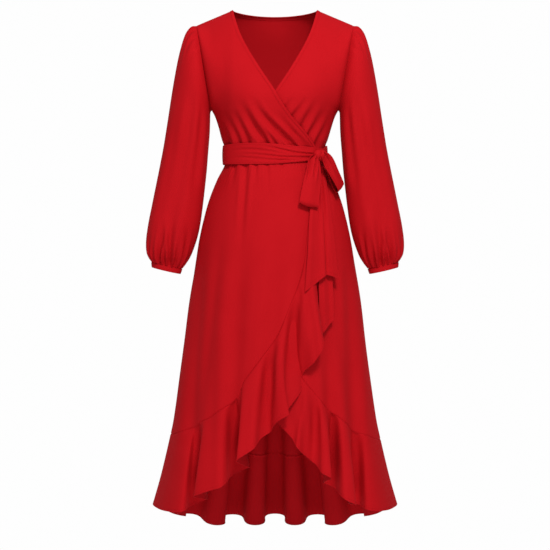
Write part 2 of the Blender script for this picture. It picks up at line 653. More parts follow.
right_sleeve, right_cuff = sleeve(), cuff()
cloth("cloth_sleeve_right", right_sleeve, closed=True)
cloth("cloth_sleeve_left", mirrored(right_sleeve), closed=True)
cloth("cloth_cuff_right", right_cuff, thickness=1.6, closed=True)
cloth("cloth_cuff_left", mirrored(right_cuff), thickness=1.6, closed=True)

# %% [markdown]
# ## The skirt fronts and their flounces
# A row of the table is a station along the seam: where the seam lies, where the flounce's free edge
# hangs, and how far that edge stands out. A circular-cut flounce falls in folds, so its free edge
# runs forward and back again, and at a few stations it doubles behind itself. The panel above is
# swept between the waist and the same seam, and the flounce starts from the panel's last row. At the
# side seams each flounce runs on for 1.2 mm, so that no light shows between them. Simulated cloth
# would fold too, but not where this hem does.

# %% Stations along the hem
OVER_FLOUNCE = table("seam_x seam_drop edge_x edge_drop out", [
    (-251.8, 1014, -294.9, 1183, 0), (-225, 1000, -262, 1179, 12), (-210, 990, -226, 1174, 14),
    (-201, 985, -209, 1170, -2), (-193, 980, -195, 1165, -48),
    (-182, 972, -160, 1150, -66), (-177, 969, -159.5, 1143, -24),
    (-171.5, 966, -173, 1136, 6), (-165.5, 963, -185.7, 1129, 32), (-148.6, 953, -149, 1113, 30),
    (-130, 939, -125, 1105, 28), (-116, 930, -111, 1096, 8), (-105, 922, -99, 1089, -42),
    (-95, 911, -62, 1073, -66),
    (-88.5, 903, -61, 1066, -24), (-81, 890, -73.8, 1056, 6), (-73.5, 872, -87.4, 1042, 34),
    (-56.1, 849, -54, 1020, 31), (-34, 820, -32, 1000, 14), (-18, 799, -13, 985, -6),
    (-5.7, 782, 4.6, 962, 6), (5.7, 764, 30.6, 938, 28), (17, 740, 40, 922, 14),
    (31, 706, 62, 880, -14), (42.5, 678, 66.3, 848, -4), (54, 648, 90, 822, 24),
    (65.5, 606, 107.7, 790, 29), (73, 546, 103.4, 741, 16),
    (79, 488, 97, 684, 7), (83.5, 430, 96, 585, 3), (87, 374, 94.5, 446, 1),
])
UNDER_FLOUNCE = table("seam_x seam_drop edge_x edge_drop out", [
    (254.7, 1027, 294.9, 1183, 0), (236, 1017, 266, 1179, 12), (220, 1007, 236, 1174, 14),
    (210, 1002, 211, 1169, -2), (199, 996, 197, 1165, -48),
    (188, 987, 173, 1160, -62), (183, 984, 172.5, 1156, -22),
    (177.4, 979, 178, 1152, 6), (171.5, 975, 186, 1149, 32), (160, 966, 163, 1137, 30),
    (151, 958, 150, 1129, 10), (143, 951, 138, 1120, -42), (136, 945, 113, 1111, -62),
    (131, 940, 111.5, 1104, -22), (125.8, 935, 118, 1095, 6), (120.5, 930, 128.5, 1086, 32),
    (108, 917, 106, 1073, 24), (97, 905, 86, 1053, -4), (86, 892, 67.2, 1035, 4),
    (74.6, 878, 51.1, 1018, 14), (60.8, 860, 39.9, 999, 3),
    (35.6, 823, 8, 964, 0), (14.9, 784, -19.4, 934, 0), (-3.4, 757, -49.3, 889, 0),
    (-28.8, 716, -77, 833, 0), (-51.9, 654, -105, 788, 0), (-66, 600, -105.2, 731, 0),
    (-78, 490, -97, 640, 0), (-83, 430, -97, 545, 0), (-86, 374, -95.5, 440, 0),
])


def stations(rows):
    """Each column as a curve along the stations, with x as a share of the body's half width."""
    n = np.arange(len(rows["seam_x"]))
    share = lambda x, drop: np.sign(x) * np.minimum(np.abs(x) / half_width(drop), 1)
    return {
        "seam": through(n, share(rows["seam_x"], rows["seam_drop"])),
        "seam_drop": through(n, rows["seam_drop"]),
        "edge": through(n, share(rows["edge_x"], rows["edge_drop"])),
        "edge_drop": through(n, rows["edge_drop"]),
        "out": through(n, rows["out"]),
        "count": len(n),
        "side": np.sign(rows["seam_x"][0]),
    }


print(len(OVER_FLOUNCE["out"]), "and", len(UNDER_FLOUNCE["out"]), "stations")

# %% Layers and broad folds
BROAD_FOLDS = table("top low width depth", [
    (-112, -190, 20, 9), (-70, -100, 24, 7), (112, 190, 20, 9), (84, 134, 20, 6),
])


def over_lift(x, drop):
    """How far the upper front stands off the body line, more lower down."""
    side = mix(-94, -150, smooth(drop, 360, 700))
    return mix(OVER_LIFT, OVER_SKIRT_LIFT, smooth(drop, 360, 560)) * smooth(x, -half_width(drop), side)


def under_lift(x, drop):
    """The same for the lower front, which lies inside the line."""
    return -under_sink(-x, drop)


def broad_folds(grid):
    """Wide hollows that open out from the hips to the hem."""
    x, drop = grid[..., 0], -grid[..., 2]
    inward = 0
    for top, low, width, depth in zip(*BROAD_FOLDS.values()):
        middle = mix(top, low, (drop - 400) / 600)
        inward = inward + depth * smooth(drop, 380, 800) * bell((x - middle) / width)
    clear = smooth(half_width(drop) - np.abs(x), 1, 12)
    return moved_out(grid, -inward * clear)


print("the layers stand", round(OVER_LIFT + UNDER_SINK, 1), "mm apart at the waist and",
      OVER_SKIRT_LIFT + UNDER_SINK, "mm lower down")

# %% Seams across the skirt
SKIRT_TOP = WAIST_DROP + 0.4
NEAR_SEAM = np.array([6.0, 3.6, 2.2, 1.1, 0.0])  # rows this far from a seam
SEAM_DEPTH, SEAM_WIDTH, SEAM_LAP, SIDE_LAP = 1.5, 1.9, 0.3, 1.2
FLOUNCE_DEPTH = 170


def panel_rows(count, power, length):
    """Shares down a panel of a length, with close rows at the waist and at the seam."""
    share = np.linspace(0, 1, count) ** power * 0.985
    return np.concatenate([share, 1 - NEAR_SEAM / length])[:, None]


def flounce_rows(count):
    """Shares down a flounce, with close rows at the seam."""
    return np.concatenate([NEAR_SEAM[::-1] / FLOUNCE_DEPTH, np.linspace(0.055, 1, count)])[:, None]


def turned_in(panel):
    """Where two pieces are sewn, both edges turn in: here the last rows of the upper piece."""
    down = lengths(panel, 0)
    return moved_out(panel, -SEAM_DEPTH * bell((down[-1][None, :] - down) / SEAM_WIDTH))


def joined(lower, panel, v):
    """Brings the top of a lower piece onto the last row of the panel above, and turns it in."""
    lower = lower + (panel[-1] - lower[0])[None] * ((1 - v) ** 2)[..., None]
    groove = turned_in(panel)[-1] - panel[-1]
    lower += groove[None] * bell(lengths(lower, 0) / SEAM_WIDTH)[..., None]
    lower[..., 2] += SEAM_LAP * (1 - v) ** 4
    return lower


print("rows next to a seam, in mm from it:", NEAR_SEAM)

# %% Panels and flounces from stations
def skirt_panel(hem, s, top_end, lift, rows=106):
    """A front of the skirt, swept from the waist to the seam at the stations s."""
    side = hem["side"]
    lean = lambda at: np.arcsin(np.minimum(side * hem["seam"](at), 1))
    last = lean(np.array([hem["count"] - 1.0]))[0]
    first = lean(np.array([0.0]))[0]
    k = ((first - lean(s)) / (first - last))[None, :]
    top_place = side * np.sin(mix(np.pi / 2, -math.asin(top_end), k))
    v = panel_rows(rows, 1.15, 650)
    drop = mix(SKIRT_TOP, hem["seam_drop"](s)[None, :], v)
    x = mix(top_place, hem["seam"](s)[None, :], v) * half_width(drop)
    grid = front(x, drop)
    grid[..., 1] -= lift(x, drop) * smooth(half_width(drop) - np.abs(x), 0, 25)
    return broad_folds(grid[:, ::-1] if side > 0 else grid)


def flounce(hem, s, panel, lift, folds, rows=38):
    """A flounce from the panel's seam to its free edge, which swings out as the stations say."""
    side = hem["side"]
    v = flounce_rows(rows)
    drop = mix(hem["seam_drop"](s)[None, :], hem["edge_drop"](s)[None, :], v)
    place = np.clip(mix(hem["seam"](s)[None, :], hem["edge"](s)[None, :], v), -1, 1)
    x = place * half_width(drop)
    grid = front(x, drop)
    clear = smooth(half_width(drop) - np.abs(x), 0, 25)
    grid[..., 1] -= (lift(x, drop) + hem["out"](s)[None, :] * v**0.62) * clear
    grid[:, 0, 1] += SIDE_LAP * v[:, 0]
    if side > 0:
        grid, panel = grid[:, ::-1], panel[:, -len(s):]
    else:
        panel = panel[:, :len(s)]
    return joined(folded(grid, folds, where=smooth(v, 0, 0.3) * 0.75 + 0.25), panel, v)


def hem_stations(fine, last, near=12):
    """Places along the stations: closest next to the side seam, and 9 to a station up to fine."""
    return np.concatenate([np.linspace(0, 1, near, endpoint=False) ** 2,
                           np.linspace(1, fine, int((fine - 1) * 9), endpoint=False),
                           np.linspace(fine, last, int((last - fine) * 6) + 1)])


print("a flounce has", len(flounce_rows(38)), "rows")

# %% Folds of the skirt fronts
OVER_SKIRT_FOLDS = [
    # path of (x, drop), width, depth, shares over which it fades in and out
    ([(-69, 345), (-70, 400), (-75, 476), (-82, 590)], 7.0, 4.0, 0.0, 0.7),
    ([(-46, 345), (-45, 380), (-46, 430)], 5, 2.4, 0.0, 0.8),
    ([(-92, 345), (-97, 385), (-104, 440)], 5, 2.6, 0.0, 0.8),
    ([(-20, 345), (-18, 385), (-16, 450)], 5.5, 2.0, 0.0, 0.8),
    ([(14, 345), (16, 380), (17, 420)], 5, 1.8, 0.0, 0.8),
    ([(-150, 440), (-172, 560), (-181, 700), (-190, 830), (-199, 1060)], 15, 5.0, 0.5, 0.0),
    ([(-62, 480), (-82, 610), (-94, 740), (-103, 990)], 18, 3.0, 0.5, 0.0),
    ([(-132, 700), (-142, 800), (-150, 1040)], 16, 3.0, 0.6, 0.0),
    ([(20, 470), (14, 560), (-2, 680), (-17, 860)], 18, 3.0, 0.6, 0.0),
]
UNDER_SKIRT_FOLDS = [
    ([(112, 345), (118, 390), (124, 450), (132, 560)], 7, 3.4, 0.0, 0.7),
    ([(150, 450), (168, 560), (178, 700), (184, 840), (190, 1050)], 14, 5.5, 0.5, 0.0),
    ([(116, 520), (128, 690), (129, 800), (131, 1000)], 14, 5.0, 0.5, 0.0),
]
print(len(OVER_SKIRT_FOLDS), "and", len(UNDER_SKIRT_FOLDS), "folds")


# %% Skirt fronts
def tiny_gathers(grid, seed, height=0.65, length=52, full_to=352):
    """Small gathers under the belt, each of its own length."""
    along = lengths(grid, 1)[6][None, :]
    reach = length * (0.72 + 0.4 * np.sin(along / 9.7 + seed))
    fade = bell(np.maximum(-grid[..., 2] - full_to, 0) / reach)
    clear = smooth(half_width(-grid[..., 2]) - np.abs(grid[..., 0]), 0.5, 8)
    return moved_out(grid, height * fade * clear * uneven_waves(along, 10.5, seed))


over_hem, under_hem = stations(OVER_FLOUNCE), stations(UNDER_FLOUNCE)
LAST_OVER, LAST_UNDER = over_hem["count"] - 1, under_hem["count"] - 1
over_s = hem_stations(LAST_OVER - 1, LAST_OVER)
under_s = hem_stations(LAST_UNDER - 9, LAST_UNDER)
over_skirt = tiny_gathers(folded(skirt_panel(over_hem, over_s, 0.8, over_lift), OVER_SKIRT_FOLDS), 0.9)
under_skirt = tiny_gathers(folded(skirt_panel(under_hem, under_s, 0.78, under_lift),
                                  UNDER_SKIRT_FOLDS), 2.6)
cloth("cloth_skirt_front_right", turned_in(over_skirt))
cloth("cloth_skirt_front_left", turned_in(under_skirt))

# %% Flounces of the fronts
OVER_FLOUNCE_FOLDS = [
    ([(-17, 790), (-17, 870), (-23, 925), (-30, 1020)], 13, 8.0, 0.0, 0.0),
    ([(47, 670), (38, 790), (34, 860), (38, 950)], 12, 8.0, 0.0, 0.0),
    ([(72, 590), (84, 650), (99, 735), (110, 820)], 9, -4.0, 0.4, 0.0),
    ([(10, 760), (10, 850), (6, 980)], 10, -4.0, 0.2, 0.0),
]
UNDER_FLOUNCE_FOLDS = [
    ([(84, 880), (92, 965), (94, 1030), (90, 1100)], 12, 5.0, 0.0, 0.0),
    ([(60, 850), (64, 920), (70, 1040)], 9, 3.0, 0.2, 0.0),
]
# Both flounces stop half a station before the last one, just under the belt.
over_ends, under_ends = over_s[over_s <= LAST_OVER - 0.5], under_s[under_s <= LAST_UNDER - 0.5]
over_edge = flounce(over_hem, over_ends, over_skirt, over_lift, OVER_FLOUNCE_FOLDS)
under_edge = flounce(under_hem, under_ends, under_skirt, under_lift, UNDER_FLOUNCE_FOLDS)
cloth("cloth_flounce_front_right", over_edge)
cloth("cloth_flounce_front_left", under_edge)

# %% [markdown]
# ## The back of the skirt
# The back hangs longer than the fronts. Its flounce falls in three deep waves on each side of the
# centre, which grow from nothing at the hip to round tubes at the hem. They show through the opening
# between the fronts. They are even, so a rule makes them and not a table. Shallow folds, placed by
# hand, keep the back as lively as the front.

# %% The form of the skirt back
WAVES, WAVE_DEPTH, WAVE_TURN = 6, 34, 0.027
SIDE_HEM, BACK_DIP, BACK_SEAM_DIP, HEM_WAVE = 1183, 90, 78, 8


def back_wave(place, drop):
    """How far a wave stands out, and how far it turns under, from side (-1) to side (1)."""
    size = smooth(drop, 620, 1270) ** 1.5 * (1 - place**8)
    phase = place * WAVES * np.pi
    return WAVE_DEPTH * size * np.cos(phase), WAVE_TURN * size * np.sin(2 * phase)


def back_seam_drop(place):
    """The seam of the back flounce, from the drops of the two side seams."""
    return mix(1027, 1014, (1 - place) / 2) + BACK_SEAM_DIP * (1 - np.abs(place) ** 2.4)


def back_hem_drop(place):
    """The back hem: it dips between the side seams and rises a little in each wave."""
    nearer = 1 - np.abs(place) ** 4.2
    return SIDE_HEM + (BACK_DIP - HEM_WAVE * np.cos(place * WAVES * np.pi)) * nearer


def back_skirt(place, drop):
    """The skirt back at places across it, moved out along the body by its waves."""
    out, turn = back_wave(place, drop)
    turned, half = place + turn, half_width(drop)
    here = back(turned * half, drop)
    inside = back((turned - np.where(turned < 0, -0.004, 0.004)) * half, drop)
    along = inside - here
    along /= np.maximum(np.linalg.norm(along, axis=-1, keepdims=True), 1e-9)
    along *= np.where(turned < 0, -1, 1)[..., None]
    here[..., 0] += along[..., 1] * out
    here[..., 1] -= along[..., 0] * out
    return here


print("the hem hangs", back_hem_drop(np.array([1, 0.5, 0])).round(), "mm down, from side to centre")

# %% Skirt back
BACK_SKIRT_FOLDS = [
    ([(62, 345), (70, 420), (80, 520), (88, 640)], 8, 3.0, 0.0, 0.7),
    ([(30, 345), (33, 390), (36, 450)], 6, 2.0, 0.0, 0.8),
    ([(2, 345), (3, 400), (2, 480), (0, 600)], 7, 2.6, 0.0, 0.7),
    ([(-34, 345), (-39, 400), (-44, 470)], 6, 2.0, 0.0, 0.8),
    ([(-70, 345), (-80, 430), (-92, 540), (-100, 660)], 8, 3.0, 0.0, 0.7),
    ([(128, 520), (148, 640), (162, 760), (172, 900)], 13, 3.4, 0.5, 0.4),
    ([(-132, 500), (-152, 620), (-166, 760), (-176, 900)], 13, 3.4, 0.5, 0.4),
    ([(44, 560), (48, 680), (52, 800)], 12, 2.4, 0.5, 0.4),
    ([(-50, 600), (-54, 700), (-58, 820)], 12, 2.4, 0.5, 0.4),
]
back_place = np.sin(np.linspace(np.pi / 2, -np.pi / 2, 230))[None, :]
back_seam, back_hem = back_seam_drop(back_place), back_hem_drop(back_place)
back_panel = back_skirt(back_place, mix(SKIRT_TOP, back_seam, panel_rows(96, 1.1, 700)))
back_panel = tiny_gathers(folded(back_panel, BACK_SKIRT_FOLDS), 4.2, height=1.1)
down_flounce = flounce_rows(34)
back_edge = back_skirt(back_place, mix(back_seam, back_hem, down_flounce))
back_edge[:, [0, -1], 1] -= SIDE_LAP * down_flounce
back_edge = joined(back_edge, back_panel, down_flounce)
cloth("cloth_skirt_back", turned_in(back_panel))
cloth("cloth_flounce_back", back_edge)

# %% [markdown]
# ## The sash
# The sash goes round the waist over both layers and is tied on the left. Pulled into the knot, it
# creases: a few long folds run from the knot and fan out across the front, and the band gets
# narrower there. On the back it lies in three uneven folds. It is a closed band that stands a few
# millimetres off the fronts and the back, read from the same form.

# %% Folds of the sash
SASH = table("place top bottom", [
    (-1, 322, 367.5), (-0.55, 318.5, 368), (0, 321, 367.5), (0.35, 325.5, 364),
    (0.7, 328, 359), (0.87, 330, 356), (1, 321.5, 362),
])
SASH_FOLDS = [
    ([(88, 345), (50, 342), (20, 336), (-8, 330), (-40, 326)], 2.6, 2.6, 0.0, 0.5),
    ([(88, 350), (60, 353), (20, 352), (-30, 347), (-90, 343)], 2.6, 2.4, 0.0, 0.6),
    ([(88, 354), (50, 358), (10, 359), (-50, 358)], 2.2, 2.0, 0.0, 0.6),
    ([(-112, 337), (-60, 334), (-10, 339), (30, 346)], 3.2, 1.5, 0.4, 0.5),
    ([(-112, 352), (-70, 353), (-20, 357), (20, 356)], 3.0, 1.3, 0.4, 0.5),
]
SASH_BACK_FOLDS = [
    ([(112, 334), (60, 332), (0, 336), (-60, 333), (-112, 335)], 3.0, 1.8, 0.15, 0.15),
    ([(112, 350), (50, 346), (-20, 349), (-80, 344), (-112, 346)], 3.2, 1.9, 0.2, 0.2),
    ([(100, 359), (30, 358), (-40, 360), (-90, 356)], 2.6, 1.3, 0.3, 0.3),
]
print(len(SASH_FOLDS), "creases in front and", len(SASH_BACK_FOLDS), "behind")

# %% Sash
SASH_TOP, SASH_BOTTOM = 321, 367.5  # its edges on the back
SASH_HALF = 120.5  # half its width at the sides, where it hangs straight
SIDE_LIFT, FRONT_LIFT, FULLNESS = 4.2, 8.2, 1.6


def sash(rows=30, columns=250):
    """The band round the waist, from the right side over the front."""
    angle = np.linspace(0, 2 * np.pi, columns, endpoint=False)[None, :]
    place = -np.cos(angle)
    on_front = np.sin(angle) > -1e-6
    behind = np.where(on_front, 0, smooth(1 - np.abs(place), 0, 0.25))
    edge = np.where(on_front, place, np.sign(place))
    top = mix(column(SASH, "place", "top")(edge), SASH_TOP, behind)
    bottom = mix(column(SASH, "place", "bottom")(edge), SASH_BOTTOM, behind)
    share = np.linspace(0, 1, rows)[:, None]
    drop = mix(top, bottom, share)
    x = place * half_width(drop)
    grid = np.where(on_front[..., None], front(x, drop), back(x, drop))
    lift = mix(SIDE_LIFT, FRONT_LIFT, smooth(-grid[..., 1], 5, 45))
    full = FULLNESS * np.sin(np.pi * share) ** 0.6
    level = facing(grid, True) * (1, 1, 0)
    level /= np.linalg.norm(level, axis=-1, keepdims=True)
    straight = (SASH_HALF - half_width(drop)) * np.abs(place) ** 4
    grid = grid + level * (lift + full + straight)[..., None]
    pinch = smooth(grid[..., 1], 10, -10)
    grid = folded(grid, SASH_FOLDS, True, pinch)
    return folded(grid, SASH_BACK_FOLDS, True, smooth(grid[..., 1], -5, 15))


sash_grid = sash()
cloth("cloth_sash", sash_grid, thickness=1.2, closed=True)

# %% [markdown]
# ## The bow
# The bow is one ribbon: two loops that droop from the knot, and two tails with slanted ends. A ribbon
# here is a table of its left and right edge from the knot down, so it can turn back on itself at the
# end of a loop. Across its width it has a few pleats, strong at the knot and soft further down. It
# could be sculpted, but a table is easy to correct one row at a time.
# The loop at the wearer's left stands clear of the body, so its table gives y and not the distance
# out from the dress.

# %% Edges of the ribbons
LOOP_RIGHT = [
    # left x, drop, out, right x, drop, out
    (93, 348, 21, 99, 352, 26), (86, 347.5, 28, 102, 354, 32), (78.5, 357, 32, 105, 366, 32),
    (72.5, 383, 30, 106.5, 393, 28), (65.5, 410, 28, 105.5, 420, 27),
    (60, 436, 27, 102.5, 447, 27), (56.3, 453, 27.5, 100.6, 464, 27.5),
    (55.3, 457.5, 24.5, 100, 468.5, 24.5), (55.6, 457.5, 19.5, 100, 468.5, 19.5),
    (57, 452, 16.6, 100, 463, 16.6), (62, 434, 16, 101, 445, 16), (69, 408, 16, 103, 418, 16),
    (78, 380, 16, 105, 388, 16),
]
LOOP_LEFT = [
    # left x, drop, y, right x, drop, y
    (112, 354, -84, 114, 338, -76), (112, 359, -84, 119, 340, -69), (115.5, 371, -84, 126, 341.5, -60),
    (129, 394, -82, 137.5, 354, -51), (142, 416, -76, 151, 383, -38), (148, 428, -71, 162, 407, -27),
    (148.5, 433, -66, 164, 414, -22), (144.5, 434.5, -62, 161, 415.5, -18),
    (140, 430, -60.5, 157, 411, -17), (132, 414, -63, 147.5, 390, -22),
    (125.5, 396, -67, 139.5, 370, -28), (121, 375, -71, 133, 356, -34),
]
TAIL_SHORT = [
    (96, 357, 18, 111, 357, 21), (94.5, 368, 14, 113, 367, 17.5), (91, 385, 9, 117, 382, 14),
    (86, 425, 9, 123, 420, 13), (82, 466, 13, 128.5, 460, 15), (78.5, 512, 19, 133.5, 503, 17),
    (75.5, 572, 26, 140, 560, 19), (72, 620, 27, 144.5, 606, 20), (68.7, 662, 28, 147.7, 637, 20),
]
TAIL_LONG = [
    (103, 371, 7.5, 114, 371, 8.5), (101, 400, 5, 118, 400, 5), (100.5, 466, 5, 124, 466, 5),
    (101, 560, 6, 131, 560, 6), (101.5, 650, 7.5, 134.5, 646, 7.5), (102.5, 706, 8, 136.5, 690, 8),
    (104.5, 766.5, 8, 136.8, 728.5, 8),
]
print(len(LOOP_RIGHT), "and", len(LOOP_LEFT), "rows for the loops,", len(TAIL_SHORT), "and",
      len(TAIL_LONG), "for the tails")


# %% Ribbons
def ribbon(rows, pleats, count=64, columns=30, hangs=True, notch=None):
    """A ribbon from the edges in a table. One that hangs lies on the front. A notch slants its end."""
    rows = np.array(rows, float)
    edges = []
    for x, drop, out in (rows[:, :3].T, rows[:, 3:].T):
        if hangs:
            grid = front(x, drop)
            grid[:, 1] -= out
        else:
            grid = points(x, out, drop)
        edges.append(grid)
    far = np.concatenate([[0], np.cumsum(np.linalg.norm(np.diff(sum(edges) / 2, axis=0), axis=1))])
    at = np.linspace(0, far[-1], count)
    left, right = (through(far, edge)(at) for edge in edges)
    share = np.linspace(0, 1, columns)
    grid = mix(left[:, None], right[:, None], share[None, :, None])
    t = at[:, None] / far[-1]
    if notch:
        top, cut = notch
        rise = np.interp(share, *zip(*cut))
        grid[..., 2] += rise[None, :] * smooth(t, top, 1)
    out = 0.0
    for place, width, depth, begin, end in pleats:
        fade = 1 - smooth(t, begin, end)
        out = out + depth * fade * bell((share[None, :] - place) / width)
    return moved_out(grid, out)


plain_tail = ribbon(TAIL_LONG, [])
print("the long tail is", round(float(lengths(plain_tail, 0)[-1, 15])), "mm long")

# %% Bow loops and tails
LOOP_PLEATS = [
    # share across, width, depth, shares down over which it fades (1.2 to 2: it doesn't)
    (0.20, 0.08, -9.0, 0.10, 0.40), (0.36, 0.07, 3.0, 0.02, 0.40), (0.55, 0.07, -9.0, 0.08, 0.32),
    (0.70, 0.08, 3.2, 0.04, 0.45), (0.88, 0.05, -3.4, 0.03, 0.28), (0.5, 0.36, 4.5, 1.2, 2),
]
SIDE_PLEATS = [
    (0.25, 0.09, -6.5, 0.08, 0.50), (0.44, 0.08, 3.0, 0.04, 0.40), (0.66, 0.08, -7.0, 0.08, 0.45),
    (0.84, 0.07, 2.4, 0.02, 0.30), (0.5, 0.36, 1.5, 1.2, 2),
]
SHORT_PLEATS = [
    (0.25, 0.06, -2.6, 0.05, 0.45), (0.47, 0.055, -6.0, 0.16, 0.62),
    (0.72, 0.055, -7.0, 0.20, 0.72), (0.56, 0.09, 3.6, 1.2, 2),
    (0.66, 0.035, -4.2, 1.2, 2), (0.84, 0.10, 1.4, 1.2, 2), (0.12, 0.10, 1.2, 1.2, 2),
]
LONG_PLEATS = [(0.35, 0.14, 1.8, 1.2, 2), (0.72, 0.12, -1.6, 1.2, 2), (0.5, 0.06, -1.8, 0.05, 0.4)]
# The short tail's end rises between its corners: share down, then (share across, mm).
NOTCH = (0.86, [(0, 0), (0.3, 9), (0.58, 20), (0.66, 21), (0.83, 12), (1, 0)])
loop_right = ribbon(LOOP_RIGHT, LOOP_PLEATS)
loop_left = ribbon(LOOP_LEFT, SIDE_PLEATS, hangs=False)
tail_short = ribbon(TAIL_SHORT, SHORT_PLEATS, count=90, columns=46, notch=NOTCH)
tail_long = ribbon(TAIL_LONG, LONG_PLEATS, count=90)
for name, grid in (("bow_loop_right", loop_right), ("bow_loop_left", loop_left),
                   ("tail_short", tail_short), ("tail_long", tail_long)):
    cloth("cloth_" + name, grid, thickness=1.1)

# %% Knot
KNOT_X, KNOT_DROP, KNOT_OUT = 90.0, 346.5, 21.0
KNOT_HALF, KNOT_HIGH, KNOT_DEEP = 18.5, 13.6, 10.6


def knot(rows=36, columns=48):
    """The knot is a turn of the ribbon drawn tight: a plump form with slanting creases."""
    here = front(KNOT_X, KNOT_DROP)
    along = front(KNOT_X + 1, KNOT_DROP) - here
    along /= np.linalg.norm(along)
    out, up = np.array((along[1], -along[0], 0.0)), np.array((0.0, 0.0, 1.0))
    centre = here + out * KNOT_OUT
    a = np.linspace(0, 2 * np.pi, columns, endpoint=False)[None, :]
    b = np.linspace(0.06, np.pi - 0.06, rows)[:, None]
    side = -np.cos(b)
    pinch = np.sin(b) ** 0.72
    crease = 0.8 * np.sin(7.5 * side + 1.1 * np.sin(a)) + 0.5 * np.sin(15 * side + 2)
    crease = crease - 3.0 * bell((side + 0.22 - 0.30 * np.cos(a)) / 0.11)
    z = np.cos(a) * pinch * (KNOT_HIGH + 0.6 * crease)
    y = np.sin(a) * pinch * (KNOT_DEEP + 1.1 * crease)
    grid = (centre + (side * KNOT_HALF + 1.5)[..., None] * along + z[..., None] * up
            + y[..., None] * out)
    return grid[:, ::-1]


cloth("cloth_bow_knot", knot(), thickness=1.5, closed=True)

# %% [markdown]
# ## Narrow hems
# Chiffon is hemmed by rolling its edge into a roll about 2 mm thick. Without it the edge would look
# cut with a knife. The roll is a thin tube along the last row of each flounce and across the ends of
# the two tails. A bevelled curve would do as well, but a tube of points takes its UV map from its own
# length.

# %% Rolled hems
def rolled(name, path, radius=0.95, sides=8):
    """A thin tube along a path, with capped ends and a UV map in metres."""
    path = np.asarray(path, float)
    ahead = np.gradient(path, axis=0)
    ahead /= np.linalg.norm(ahead, axis=1, keepdims=True)
    side = np.cross(ahead, (0.13, 0.21, 1.0))
    side /= np.linalg.norm(side, axis=1, keepdims=True)
    up = np.cross(side, ahead)
    a = np.linspace(0, 2 * np.pi, sides, endpoint=False)
    size = np.full(len(path), radius)[:, None, None]
    size[[0, -1]] = radius * 0.35  # the ends taper
    ring = np.cos(a)[None, :, None] * side[:, None] + np.sin(a)[None, :, None] * up[:, None]
    corners = (path[:, None] + size * ring).reshape(-1, 3) * MM
    faces = []
    for i in range(len(path) - 1):
        for j in range(sides):
            k = (j + 1) % sides
            faces.append((i * sides + j, i * sides + k, (i + 1) * sides + k, (i + 1) * sides + j))
    faces.append(tuple(range(sides))[::-1])
    faces.append(tuple((len(path) - 1) * sides + j for j in range(sides)))
    mesh = bpy.data.meshes.new(name)
    mesh.from_pydata(corners.tolist(), [], faces)
    layer = mesh.uv_layers.new(name="cloth")
    far = np.concatenate([[0], np.cumsum(np.linalg.norm(np.diff(path, axis=0), axis=1))]) * MM
    loops = np.empty(len(mesh.loops), int)
    mesh.loops.foreach_get("vertex_index", loops)
    around = (loops % sides) / sides * 2 * np.pi * radius * MM
    layer.data.foreach_set("uv", np.stack([far[loops // sides], around], -1).reshape(-1))
    mesh.polygons.foreach_set("use_smooth", np.ones(len(mesh.polygons), bool))
    made = bpy.data.objects.new(name, mesh)
    bpy.context.collection.objects.link(made)
    PIECES[name] = made
    print(f"{name}: {far[-1]:.2f} m long")


def low_edge(grid, inside=0.4, spacing=1.2):
    """The last row, halfway through the cloth, without points that lie closer than the spacing."""
    path = moved_out(grid, -inside)[-1]
    keep = [path[0]]
    for p in path[1:]:
        if np.linalg.norm(p - keep[-1]) > spacing:
            keep.append(p)
    return np.array(keep)


rolled("hem_flounce_front_right", low_edge(over_edge))
rolled("hem_flounce_front_left", low_edge(under_edge))
rolled("hem_flounce_back", low_edge(back_edge))
rolled("hem_tail_short", low_edge(tail_short), radius=0.9)
rolled("hem_tail_long", low_edge(tail_long), radius=0.9)

# %% [markdown]
# ## Stitches
# A sewing machine leaves a stitch about every 2.7 mm. Geometry Nodes suit them, because one small
# form repeats along a line: the lines become curves, points are set along them at an even pitch, and
# a grain-shaped stitch is put on each, turned along the line. The tree ends in Realize Instances and
# Set Material, and the result is kept as a plain mesh.

# %% Lines of stitching
STITCH_LIFT = 0.25  # stitches lie this far above the cloth


def along_row(grid, row, closed=False):
    """A line along one row, back to its start on a closed piece."""
    line = moved_out(grid, STITCH_LIFT, closed)[row]
    return np.concatenate([line, line[:1]]) if closed else line


def down_column(grid, at):
    """A line down one column."""
    return moved_out(grid, STITCH_LIFT)[:, at]


def row_from_edge(grid, distance):
    """The row that lies a distance above the last one, halfway along."""
    down = lengths(grid, 0)[:, grid.shape[1] // 2]
    return int(np.argmin(np.abs(down[-1] - distance - down)))


HEM_STITCH = 5  # mm from a flounce's edge to its stitches
ROUND = ((right_cuff, 3), (right_cuff, -2), (mirrored(right_cuff), 3), (mirrored(right_cuff), -2),
         (sash_grid, 2), (sash_grid, -3))
LINES = [down_column(over_band, 0), down_column(under_band, -1)]
LINES += [along_row(grid, row, closed=True) for grid, row in ROUND]
LINES += [along_row(grid, row_from_edge(grid, HEM_STITCH))
          for grid in (over_edge, under_edge, back_edge)]
LINES += [along_row(tail_short, -4), along_row(tail_long, -4)]
print(len(LINES), "lines of stitching")

# %% A tree that sews along lines
STITCH = {"Pitch": 0.0027, "Length": 0.0020, "Thickness": 0.00036}  # in metres


